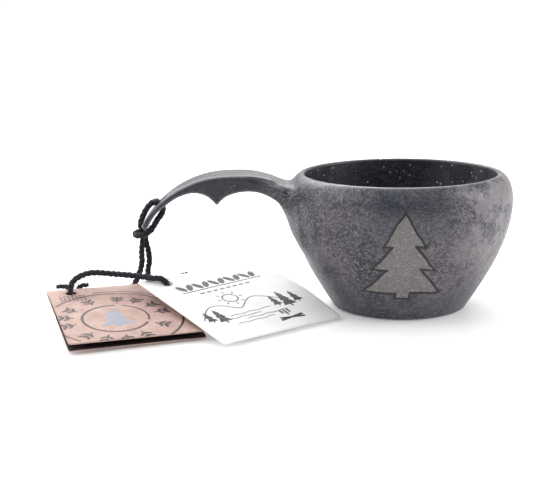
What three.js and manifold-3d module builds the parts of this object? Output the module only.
// A kuksa: a small one-piece moulded cup with a curved finger handle, its lanyard and two hang tags.
// Millimetres, +Z up. The origin is the middle of the foot on the bowl's axis, the handle points to -X,
// and the side that shows the tags' open edges looks to -Y.
import * as THREE from "three";
import { mergeVertices } from "three/addons/utils/BufferGeometryUtils.js";
import Module from "manifold-3d";

const wasm = await Module();
wasm.setup();

const deg = THREE.MathUtils.degToRad;
const v2 = (x, y) => new THREE.Vector2(x, y);
const v3 = (x, y, z) => new THREE.Vector3(x, y, z);

// Bowl
const CUP_HEIGHT = 61.8;
const BELLY_RADIUS = 51.2; // widest, at BELLY_HEIGHT
const BELLY_HEIGHT = 50;
const FOOT_RADIUS = 31.4; // where the wall meets the table
const FOOT_ROUND = 1.2;
const MOUTH_RADIUS = 43.9; // inside the lip
const LIP = 0.9; // half the thickness of the lip's rounded edge
const FLOOR = 4.5; // thickness under the drink
const WELL_RADIUS = 20; // flat middle of the inside floor
const SWEEP_OUT = 11.2; // how far the outside swings out over the foot before it climbs
const SWEEP_LOW = 0.36; // shares of the belly's height that shape the swing
const SWEEP_HIGH = 0.68;
const DRAFT = 0.3; // how much the inside closes in before it turns to the floor
const TURN_HEIGHT = 0.39; // share of the cup's height where the inside starts to turn
const TURN_IN = 7.9; // how far inside the mouth's radius the turn meets the floor's level
const BOWL_SIDES = 72;

// Handle, one moulding with the bowl
const HANDLE_WIDTH = 23;
const ROOT_WIDTH = 34; // where the sides flare into the bowl
const TIP_REACH = 119.6; // from the bowl's axis to the end of the tongue
const TIP_WIDTH = 18.6; // of the tongue before its corners round off
const TIP_CORNER = 3.5; // how far the corners round off
const SADDLE = 1.9; // depth of the hollow in the tongue's end, where the lanyard lies
const HOLE_BORE = 8; // for the lanyard
const HOLE_FROM_TIP = 13.2; // measured along the tongue
const TONGUE_LINE = v2(0.613, 0.79); // the direction that the tongue climbs in
const HOLE_LEAN = deg(9.8); // the bore leans back from square, towards the bowl

// Tags
const CARD = 0.5; // thickness of all three leaves
const LEAFLET_WIDTH = 58; // along the fold
const LEAFLET_DEPTH = 60; // from the fold to the open edge
const LEAFLET_HOLE = v2(10.2, 5.2); // from the left edge and from the fold
const TAG_SIDE = 65.5;
const TAG_HOLE = v2(11.5, 6.5); // from the left edge and from the raised edge
const TAG_BORE = 6.2; // hole in each leaf for the lanyard
const CORNER = 1.2; // rounded corners of the leaves

// Lanyard
const CORD = 2.8; // diameter of the twisted cord
const TOUCH = 0.3; // gap kept between pieces that touch
const CORD_SIDES = 8;
const KNOT_RADIUS = 4.6;

// ---------------------------------------------------------------- solids

function solid(geometry) {
  const bare = geometry.clone();
  bare.deleteAttribute("normal");
  bare.deleteAttribute("uv");
  const merged = mergeVertices(bare, 1e-4);
  const mesh = new wasm.Mesh({
    numProp: 3,
    vertProperties: new Float32Array(merged.attributes.position.array),
    triVerts: new Uint32Array(merged.index.array),
  });
  return new wasm.Manifold(mesh);
}

function geometryOf(body) {
  const mesh = body.getMesh();
  const geometry = new THREE.BufferGeometry();
  geometry.setAttribute("position", new THREE.BufferAttribute(new Float32Array(mesh.vertProperties), 3));
  geometry.setIndex(new THREE.BufferAttribute(new Uint32Array(mesh.triVerts), 1));
  geometry.computeVertexNormals();
  return geometry;
}

function piece(name, geometry, material) {
  const mesh = new THREE.Mesh(geometry, material);
  mesh.name = name;
  return mesh;
}

const composite = new THREE.MeshStandardMaterial({ color: 0x57555c, roughness: 0.6, metalness: 0 });
const kraft = new THREE.MeshStandardMaterial({ color: 0xc8b0a8, roughness: 0.85, metalness: 0 });
const white = new THREE.MeshStandardMaterial({ color: 0xf2f2f0, roughness: 0.7, metalness: 0 });
const fibre = new THREE.MeshStandardMaterial({ color: 0x1c1c22, roughness: 0.95, metalness: 0 });

// ---------------------------------------------------------------- cup

// The outside is one sweep from the foot to the belly, then a quarter of an ellipse over to the lip.
function bowlOutside() {
  const foot = [v2(0, 0), v2(FOOT_RADIUS - FOOT_ROUND, 0)];
  const sweep = new THREE.CubicBezierCurve(
    v2(FOOT_RADIUS, FOOT_ROUND * 0.6),
    v2(FOOT_RADIUS + SWEEP_OUT, BELLY_HEIGHT * SWEEP_LOW),
    v2(BELLY_RADIUS, BELLY_HEIGHT * SWEEP_HIGH),
    v2(BELLY_RADIUS, BELLY_HEIGHT),
  );
  const lipMiddle = MOUTH_RADIUS + LIP;
  const over = BELLY_RADIUS - lipMiddle;
  const up = CUP_HEIGHT - BELLY_HEIGHT;
  const shoulder = new THREE.EllipseCurve(lipMiddle, BELLY_HEIGHT, over, up, 0, Math.PI / 2);
  return [...foot, ...sweep.getPoints(16), ...shoulder.getPoints(8).slice(1)];
}

// The inside narrows all the way down, so that the moulding's core could be drawn straight up.
function bowlInside(top) {
  const wall = new THREE.CubicBezierCurve(
    v2(MOUTH_RADIUS, CUP_HEIGHT - LIP),
    v2(MOUTH_RADIUS - DRAFT, CUP_HEIGHT * TURN_HEIGHT),
    v2(MOUTH_RADIUS - TURN_IN, FLOOR),
    v2(WELL_RADIUS, FLOOR),
  );
  const lip = new THREE.EllipseCurve(
    MOUTH_RADIUS + LIP, CUP_HEIGHT - LIP, LIP, LIP, Math.PI / 2, Math.PI);
  const over = top ? [v2(0, top), v2(MOUTH_RADIUS + LIP, top)] : [];
  return [...over, ...lip.getPoints(3), ...wall.getPoints(16).slice(1), v2(0, FLOOR)];
}

function slab(shape, depth, curveSegments) {
  return new THREE.ExtrudeGeometry(shape, { depth, bevelEnabled: false, curveSegments });
}

function lathe(points) {
  const geometry = new THREE.LatheGeometry(points, BOWL_SIDES);
  return geometry.rotateX(Math.PI / 2);
}

// Side view of the handle, in distance back from the tip and height over the rim.
const side = (fromTip, overRim) => v2(fromTip - TIP_REACH, CUP_HEIGHT + overRim);
const ROOT_REACH = MOUTH_RADIUS + 1.2; // the handle's outline ends inside the bowl's wall
const ROOT_TOP = side(TIP_REACH - ROOT_REACH, -3.8);
const TOP_LINE = [
  side(69.1, -3.4), side(64.6, -2.6), side(59.6, -0.9), side(52.6, 0.4), side(44.6, 0.8),
  side(35.6, 0.4), side(27.1, -1.4),
  side(18.6, -5.1), side(11.6, -9.8), side(6.3, -14.6), side(3.0, -18.7), side(0.6, -22.6),
];
const TIP_LOW = side(2.8, -24.4);
const OUTER_FINGER = [
  side(5.6, -19.6), side(8.6, -15.7), side(12.6, -12.2), side(18.1, -8.5), side(25.1, -6.5),
  side(31.1, -8.0),
];
const CUSP = side(35.7, -12.2);
const INNER_FINGER = [
  side(40.1, -8.3), side(47.1, -6.2), side(54.1, -6.5), side(60.6, -9.2), side(65.6, -13.8),
  side(69.1, -19.5), side(71.4, -24.3),
];
const ROOT_LOW = side(75.5, -28.8); // where the underside runs into the bowl

function handleSide() {
  const shape = new THREE.Shape();
  shape.moveTo(ROOT_TOP.x, ROOT_TOP.y);
  shape.splineThru(TOP_LINE);
  shape.lineTo(TIP_LOW.x, TIP_LOW.y);
  shape.splineThru([...OUTER_FINGER, CUSP]);
  shape.splineThru([...INNER_FINGER, ROOT_LOW]);
  shape.closePath();
  return shape;
}

// Top view: straight sides, a flare at the bowl, and a tongue with round corners and a hollow end.
const FLARE_START = 46; // from the axis: outside this the flare narrows,
const FLARE_END = 64; // and here the sides are straight
const FLARE_PULL = v2(4, 1.5); // how the flare leaves the bowl's side,
const FLARE_FADE = 9; // and how early it turns along the straight sides
const TAPER = 18; // length of the tongue's taper
const TAPER_FADE = 8; // the part of it that still runs with the straight sides
const TIP_FADE = 7; // from the tip, where the taper turns along the tongue

function handlePlan() {
  const half = HANDLE_WIDTH / 2;
  const tip = TIP_WIDTH / 2;
  const root = ROOT_WIDTH / 2;
  const inBowl = MOUTH_RADIUS - 10;
  const pull = v2(-FLARE_START - FLARE_PULL.x, half + FLARE_PULL.y);
  const fade = -FLARE_START - FLARE_FADE;
  const sidesEnd = TAPER - TIP_REACH;
  const taperStart = sidesEnd - TAPER_FADE;
  const taperEnd = TIP_FADE - TIP_REACH;
  const shape = new THREE.Shape();
  shape.moveTo(-inBowl, -root);
  shape.lineTo(-FLARE_START, -root);
  shape.bezierCurveTo(pull.x, -pull.y, fade, -half, -FLARE_END, -half);
  shape.lineTo(sidesEnd, -half);
  shape.bezierCurveTo(taperStart, -half, taperEnd, -tip, TIP_CORNER - TIP_REACH, -tip);
  shape.quadraticCurveTo(-TIP_REACH, -tip, -TIP_REACH, TIP_CORNER - tip);
  shape.quadraticCurveTo(2 * SADDLE - TIP_REACH, 0, -TIP_REACH, tip - TIP_CORNER);
  shape.quadraticCurveTo(-TIP_REACH, tip, TIP_CORNER - TIP_REACH, tip);
  shape.bezierCurveTo(taperEnd, tip, taperStart, half, sidesEnd, half);
  shape.lineTo(-FLARE_END, half);
  shape.bezierCurveTo(fade, half, pull.x, pull.y, -FLARE_START, root);
  shape.lineTo(-inBowl, root);
  shape.closePath();
  return shape;
}

// The lanyard hole goes square through the tongue, HOLE_FROM_TIP up from its end.
function lanyardHole() {
  const tip = TOP_LINE.at(-1).clone().add(TIP_LOW).multiplyScalar(0.5);
  const centre = tip.addScaledVector(TONGUE_LINE, HOLE_FROM_TIP);
  const climb = Math.atan2(TONGUE_LINE.y, TONGUE_LINE.x);
  const bore = new THREE.CylinderGeometry(HOLE_BORE / 2, HOLE_BORE / 2, HOLE_BORE * 1.5, 32);
  return bore.rotateX(Math.PI / 2).rotateY(-climb + HOLE_LEAN).translate(centre.x, 0, centre.y);
}

function cup() {
  const outside = solid(lathe([...bowlOutside(), v2(0, CUP_HEIGHT)]));
  const inside = solid(lathe(bowlInside(CUP_HEIGHT + 5).reverse()));
  const across = ROOT_WIDTH + 2;
  const profile = slab(handleSide(), across, 4);
  profile.rotateX(Math.PI / 2).translate(0, across / 2, 0);
  const plan = slab(handlePlan(), CUP_HEIGHT, 8);
  plan.translate(0, 0, FLOOR);
  const handle = solid(profile).intersect(solid(plan)).subtract(solid(lanyardHole()));
  return geometryOf(outside.add(handle).subtract(inside));
}

// ---------------------------------------------------------------- tags

// A leaf lies in its own XY plane: X along the raised edge from the left corner, -Y to the front,
// top face at 0.
function leaf(width, depth, hole) {
  const shape = new THREE.Shape();
  shape.moveTo(CORNER, 0);
  shape.lineTo(width - CORNER, 0);
  shape.absarc(width - CORNER, -CORNER, CORNER, Math.PI / 2, 0, true);
  shape.lineTo(width, -depth + CORNER);
  shape.absarc(width - CORNER, -depth + CORNER, CORNER, 0, -Math.PI / 2, true);
  shape.lineTo(CORNER, -depth);
  shape.absarc(CORNER, -depth + CORNER, CORNER, -Math.PI / 2, -Math.PI, true);
  shape.lineTo(0, -CORNER);
  shape.absarc(CORNER, -CORNER, CORNER, Math.PI, Math.PI / 2, true);
  const eye = new THREE.Path();
  eye.absarc(hole.x, -hole.y, TAG_BORE / 2, 0, Math.PI * 2, false);
  shape.holes.push(eye);
  return slab(shape, CARD, 5).translate(0, 0, -CARD);
}

// The leaflet is folded along its raised edge. Its back leaf lies on the table in front, and the cover
// stands open by the angle between the two pitches.
const FOLD_LEFT = v3(-161.4, -18.9, 12.5); // left end of the fold, on the cover's top face
const LEAFLET_HEADING = 19.5;
const LEAFLET_ROLL = 0.84; // the fold is a little lower at its right end
const COVER_PITCH = 7.3;
const BACK_PITCH = 9.3;
const BACK_BELOW = CARD + 0.4; // the back leaf starts this far under the cover at the fold

function placed(mesh, corner, heading, pitch, roll) {
  mesh.position.copy(corner);
  mesh.rotation.set(deg(pitch), deg(roll), deg(heading), "ZYX");
  return mesh;
}

const cover = piece("leaflet_cover", leaf(LEAFLET_WIDTH, LEAFLET_DEPTH, LEAFLET_HOLE), kraft);
placed(cover, FOLD_LEFT, LEAFLET_HEADING, COVER_PITCH, LEAFLET_ROLL);
const back = piece("leaflet_back", leaf(LEAFLET_WIDTH, LEAFLET_DEPTH, LEAFLET_HOLE), kraft);
placed(back, FOLD_LEFT.clone().add(v3(0, 0, -BACK_BELOW)), LEAFLET_HEADING, BACK_PITCH, LEAFLET_ROLL);

// The square card lies across the leaflet's right half, raised edge towards the cup's far side.
const TAG_CORNER = v3(-119.9, -20.1, 16.25);
const tag = piece("square_tag", leaf(TAG_SIDE, TAG_SIDE, TAG_HOLE), white);
placed(tag, TAG_CORNER, 39.6, 12.3, 0.62);

// ---------------------------------------------------------------- lanyard

// A round cord along chosen points. The section is turned so that its flats meet the end caps squarely.
function cord(points) {
  const path = new THREE.CatmullRomCurve3(points, false, "centripetal");
  const section = new THREE.Shape();
  for (let i = 0; i < CORD_SIDES; i++) {
    const turn = (i + 0.5) * 2 * Math.PI / CORD_SIDES;
    const corner = v2(CORD / 2 * Math.cos(turn), CORD / 2 * Math.sin(turn));
    if (i === 0) section.moveTo(corner.x, corner.y);
    else section.lineTo(corner.x, corner.y);
  }
  section.closePath();
  const steps = Math.max(4, Math.round(path.getLength() / (CORD * 1.6)));
  return new THREE.ExtrudeGeometry(section, { steps, extrudePath: path, bevelEnabled: false });
}

const STRAND = CORD / 2 + TOUCH / 2; // half the distance between two strands side by side

// The hitch: a doubled end goes down through the hole, round under the tip and outside both legs.
const ARM = [
  [-110.55, STRAND, 47.8], [-109.5, STRAND, 46.2], [-109.95, 1.8, 44.15], [-111.25, 2.1, 42.35],
  [-112.85, 2.5, 40.05], [-114.5, 3.0, 37.3], [-116.9, 4.0, 35.4], [-119.1, 4.9, 34.8],
  [-121.5, 4.1, 34.6],
];
const NOOSE_END = [-122.5, 0, 34.8];
const mirrored = ([x, y, z]) => [x, -y, z];
const hitch = [...ARM, NOOSE_END, ...ARM.map(mirrored).reverse()];

// Each leg leaves the hole upwards, lies along the top of the tongue and hangs from its tip.
const LEG_TOP = [
  [-110.9, STRAND, 48.2], [-112.5, STRAND, 49.5], [-114.75, STRAND, 48.8], [-116.7, STRAND, 46.7],
  [-118.15, STRAND, 44.2], [-119.3, STRAND, 41.8], [-119.9, STRAND, 39.5], [-119.5, STRAND, 37.3],
  [-118.7, STRAND, 35.2],
];
const rightLeg = [
  ...LEG_TOP, [-118.0, 1.5, 30.5], [-116.9, 1.3, 25.2], [-116.9, 1.7, 20.7], [-117.9, 3.0, 16.2],
  [-117.7, 4.6, 12.4], [-115.5, 6.7, 9.0], [-111.0, 7.9, 7.6], [-106.4, 7.3, 9.4], [-102.8, 5.8, 12.5],
  [-99.5, 4.0, 13.6], [-96.2, 2.0, 11.8], [-93.6, -1.2, 7.5], [-92.2, -6.0, 3.4], [-92.6, -12.0, 2.4],
  [-94.0, -17.0, 4.8], [-96.2, -20.2, 8.7], [-99.2, -21.6, 10.7], [-102.4, -21.7, 11.3],
  [-104.7, -20.8, 11.4],
];
const leftLeg = [
  ...LEG_TOP.map(mirrored), [-119.2, -1.6, 31.5], [-119.9, -1.4, 26.5], [-120.0, -1.0, 21.5],
  [-121.2, -0.4, 16.8], [-123.2, 0.3, 12.2], [-126.4, 0.4, 7.4], [-131.6, -1.4, 3.6], [-138.0, -4.4, 2.4],
  [-142.8, -6.8, 3.2], [-145.2, -8.0, 4.0],
];
const acrossTags = [
  [-105.9, -19.5, 12.1], [-106.7, -18.2, 14.0], [-107.9, -17.5, 16.1], [-109.9, -17.4, 17.35],
  [-113.0, -17.6, 17.6], [-116.2, -17.0, 17.95], [-119.5, -16.0, 18.2], [-125.2, -14.7, 18.6],
  [-131.5, -14.0, 19.0], [-137.7, -14.2, 19.7], [-142.3, -15.0, 19.8], [-146.2, -16.5, 18.8],
  [-149.1, -18.5, 16.9], [-150.3, -19.9, 14.2], [-150.4, -20.6, 11.3], [-150.6, -20.9, 8.2],
  [-150.8, -20.4, 4.8], [-151.2, -18.4, 2.4], [-151.5, -15.6, 2.6],
];

const points3 = (list) => list.map((p) => v3(...p));
const KNOT = v3(-150.6, -10.0, KNOT_RADIUS + TOUCH);

function knot() {
  const half = new THREE.EllipseCurve(0, 0, KNOT_RADIUS, KNOT_RADIUS, -Math.PI / 2, Math.PI / 2);
  const ball = new THREE.LatheGeometry(half.getPoints(10), 16);
  ball.rotateX(Math.PI / 2).translate(KNOT.x, KNOT.y, KNOT.z);
  const tails = [
    [KNOT.toArray(), [-150.9, -11.4, 9.6], [-153.6, -11.3, 12.5], [-158.4, -11.2, 12.7]],
    [KNOT.toArray(), [-149.2, -11.0, 9.6], [-147.2, -11.0, 12.8], [-143.6, -11.0, 13.3]],
  ];
  let body = solid(ball);
  for (const tail of tails) body = body.add(solid(cord(points3(tail))));
  return geometryOf(body);
}

// ---------------------------------------------------------------- assembly

const kuksa = new THREE.Group();
kuksa.add(
  piece("cup", cup(), composite),
  back,
  cover,
  tag,
  piece("cord_hitch", cord(points3(hitch)), fibre),
  piece("cord_left_leg", cord(points3(leftLeg)), fibre),
  piece("cord_right_leg", cord(points3(rightLeg)), fibre),
  piece("cord_across_tags", cord(points3(acrossTags)), fibre),
  piece("cord_knot", knot(), fibre),
);

export default kuksa;
